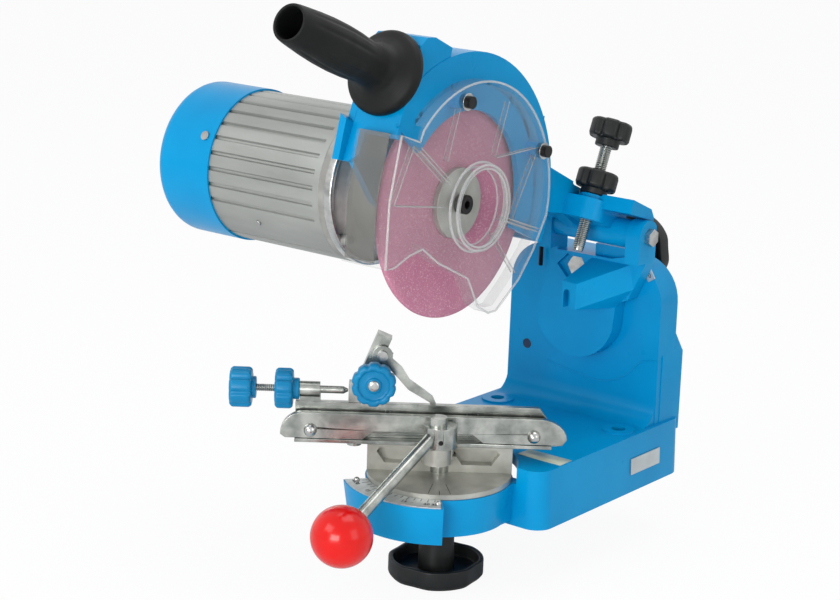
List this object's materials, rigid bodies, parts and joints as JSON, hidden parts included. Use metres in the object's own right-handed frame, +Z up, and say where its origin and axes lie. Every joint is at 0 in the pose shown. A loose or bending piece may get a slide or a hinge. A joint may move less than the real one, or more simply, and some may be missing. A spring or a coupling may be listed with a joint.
{
  "type": "saw chain bench grinder",
  "caption": "Bench grinder for saw chains: swivel vise with chain stop, and a motor head with a thin wheel that hinges down and tilts on a column.",
  "frame": {"origin": "midway between the two bench bolt holes, on the plane of the base casting's underside", "axes": "+Z up along the bolts, +Y towards the column, away from the operator, +X to the operator's right, away from the motor"},
  "size_m": [0.2736, 0.3686, 0.3754],
  "materials": {
    "casting": "gloss hammered blue enamel",
    "pad_scale": "printed satin plate",
    "rivet": "bright",
    "plate_blank": "satin",
    "label": "bare sticker",
    "cast_alu": "machined casting",
    "steel": "zinc plated",
    "jaw_steel": "ground plate",
    "white_pin": "white cap",
    "black_plastic": "moulded",
    "black_steel": "black oxide",
    "blue_plastic": "moulded",
    "red_ball": "polished",
    "clear": "clear polycarbonate",
    "wheel": "vitrified abrasive",
    "motor_alu": "extruded ribs",
    "iron": "laminated",
    "copper": "lacquered wire",
    "green": "rocker"
  },
  "bodies": {
    "base": {"base_casting": "casting", "scale_plate": "pad_scale", "scale_rivets": "rivet", "tilt_scale": "pad_scale", "name_plate": "plate_blank", "base_label": "label"},
    "turntable": {"turntable": "cast_alu", "table_bolt": "steel", "rear_jaw": "jaw_steel", "jaw_pins": "white_pin", "jaw_screws": "steel", "cam_stud": "steel", "feed_bracket": "steel"},
    "table_knob": {"table_knob": "black_plastic"},
    "front_jaw": {"front_jaw": "jaw_steel"},
    "cam_lever": {"cam_hub": "steel", "cam_rod": "steel", "cam_ball": "red_ball", "cam_set_screw": "black_steel"},
    "feed_screw": {"feed_screw": "steel"},
    "feed_knob": {"feed_knob": "blue_plastic"},
    "feed_lock_knob": {"feed_lock_knob": "blue_plastic"},
    "stop_carriage": {"stop_carriage": "jaw_steel", "stop_screw": "steel", "pawl_pin": "white_pin"},
    "stop_knob": {"stop_knob": "blue_plastic"},
    "chain_pawl": {"chain_pawl": "jaw_steel"},
    "stop_nut": {"stop_nut": "steel"},
    "tilt_head": {"tilt_bracket": "casting", "tilt_bolt": "steel", "hinge_pin": "steel", "hinge_nut": "steel", "return_spring": "black_steel"},
    "tilt_knob": {"tilt_knob": "black_plastic"},
    "arm": {"arm_casting": "casting", "wheel_guard": "clear", "guard_screws": "black_steel", "side_handle": "black_plastic", "handle_stud": "steel", "motor_bell": "motor_alu", "motor_housing": "motor_alu", "motor_cap": "casting", "motor_bolts": "black_steel", "cap_screws": "steel", "stator": "iron", "windings": "copper", "bearings": "steel", "power_switch": "black_plastic", "cable_gland": "black_plastic"},
    "rotor": {"rotor_shaft": "steel", "rotor_core": "iron", "cooling_fan": "black_plastic", "wheel_flanges": "cast_alu", "grinding_wheel": "wheel", "arbor_bolt": "black_steel"},
    "depth_screw": {"depth_screw": "steel"},
    "depth_knob": {"depth_knob": "black_plastic"},
    "depth_lock_knob": {"depth_lock_knob": "black_plastic"},
    "switch_rocker": {"switch_rocker": "green"}
  },
  "joints": [
    {"name": "table_swivel", "type": "hinge", "parent": "base", "child": "turntable", "pos_m": [0, -0.13, 0.028], "axis": [0, 0, 1], "range_deg": [-76, 0]},
    {"name": "table_knob_turn", "type": "hinge", "parent": "turntable", "child": "table_knob", "pos_m": [0, -0.13, -0.03], "axis": [0, 0, 1], "range_deg": [-30, 30]},
    {"name": "cam_turn", "type": "hinge", "parent": "turntable", "child": "cam_lever", "pos_m": [0.00889, -0.14463, 0.06], "axis": [0, 0, 1], "range_deg": [0, 34]},
    {"name": "jaw_slide", "type": "slide", "parent": "turntable", "child": "front_jaw", "axis": [-0.6157, 0.788, 0], "range_m": [0, 0.0012]},
    {"name": "feed_slide", "type": "slide", "parent": "turntable", "child": "feed_screw", "axis": [0.788, 0.6157, 0], "range_m": [-0.0039, 0.0039]},
    {"name": "feed_turn", "type": "hinge", "parent": "feed_screw", "child": "feed_knob", "pos_m": [-0.10063, -0.20424, 0.0815], "axis": [-0.788, -0.6157, 0], "range_deg": [-1100, 1100]},
    {"name": "feed_lock_turn", "type": "hinge", "parent": "turntable", "child": "feed_lock_knob", "pos_m": [-0.07856, -0.187, 0.0815], "axis": [0.788, 0.6157, 0], "range_deg": [-30, 30]},
    {"name": "stop_slide", "type": "slide", "parent": "turntable", "child": "stop_carriage", "axis": [0.788, 0.6157, 0], "range_m": [-0.0039, 0.0039]},
    {"name": "stop_knob_turn", "type": "hinge", "parent": "stop_carriage", "child": "stop_knob", "pos_m": [-0.02811, -0.16338, 0.09], "axis": [-0.6157, 0.788, 0], "range_deg": [-30, 30]},
    {"name": "pawl_lift", "type": "hinge", "parent": "stop_carriage", "child": "chain_pawl", "pos_m": [-0.02945, -0.15403, 0.106], "axis": [-0.6157, 0.788, 0], "range_deg": [-50, 0]},
    {"name": "stop_nut_turn", "type": "hinge", "parent": "stop_carriage", "child": "stop_nut", "pos_m": [-0.04877, -0.15643, 0.048], "axis": [0, 0, 1], "range_deg": [-30, 30]},
    {"name": "head_tilt", "type": "hinge", "parent": "base", "child": "tilt_head", "pos_m": [0, 0.02, 0.14], "axis": [0, -1, 0], "range_deg": [-35, 0]},
    {"name": "tilt_knob_turn", "type": "hinge", "parent": "tilt_head", "child": "tilt_knob", "pos_m": [0, 0.09, 0.14], "axis": [0, 1, 0], "range_deg": [-30, 30]},
    {"name": "head_lower", "type": "hinge", "parent": "tilt_head", "child": "arm", "pos_m": [0, 0.017, 0.1685], "axis": [1, 0, 0], "range_deg": [0, 20.5], "stiffness_Nm_per_rad": 20, "springref_deg": -40.11},
    {"name": "wheel_spin", "type": "hinge", "parent": "arm", "child": "rotor", "pos_m": [0, -0.1275, 0.205], "axis": [1, 0, 0], "continuous": true},
    {"name": "depth_slide", "type": "slide", "parent": "arm", "child": "depth_screw", "axis": [0, 0.3907, 0.9205], "range_m": [-0.005, 0.005]},
    {"name": "depth_turn", "type": "hinge", "parent": "depth_screw", "child": "depth_knob", "pos_m": [0.0174, 0.00456, 0.19551], "axis": [0, 0.3907, 0.9205], "range_deg": [-1441, 1441]},
    {"name": "depth_lock_turn", "type": "hinge", "parent": "arm", "child": "depth_lock_knob", "pos_m": [0.0174, 0.00456, 0.19551], "axis": [0, 0.3907, 0.9205], "range_deg": [-30, 30]},
    {"name": "switch_rock", "type": "hinge", "parent": "arm", "child": "switch_rocker", "pos_m": [-0.109, -0.06773, 0.19977], "axis": [0, -0.0872, -0.9962], "range_deg": [-5, 5]}
  ],
  "couplings": [
    {"joint": "jaw_slide", "follows": "cam_turn", "m_per_rad": 0.002},
    {"joint": "feed_slide", "follows": "feed_turn", "m_per_rad": -0.00019894},
    {"joint": "stop_slide", "follows": "feed_turn", "m_per_rad": -0.00019894},
    {"joint": "depth_turn", "follows": "depth_slide", "rad_per_m": 5026.5}
  ]
}
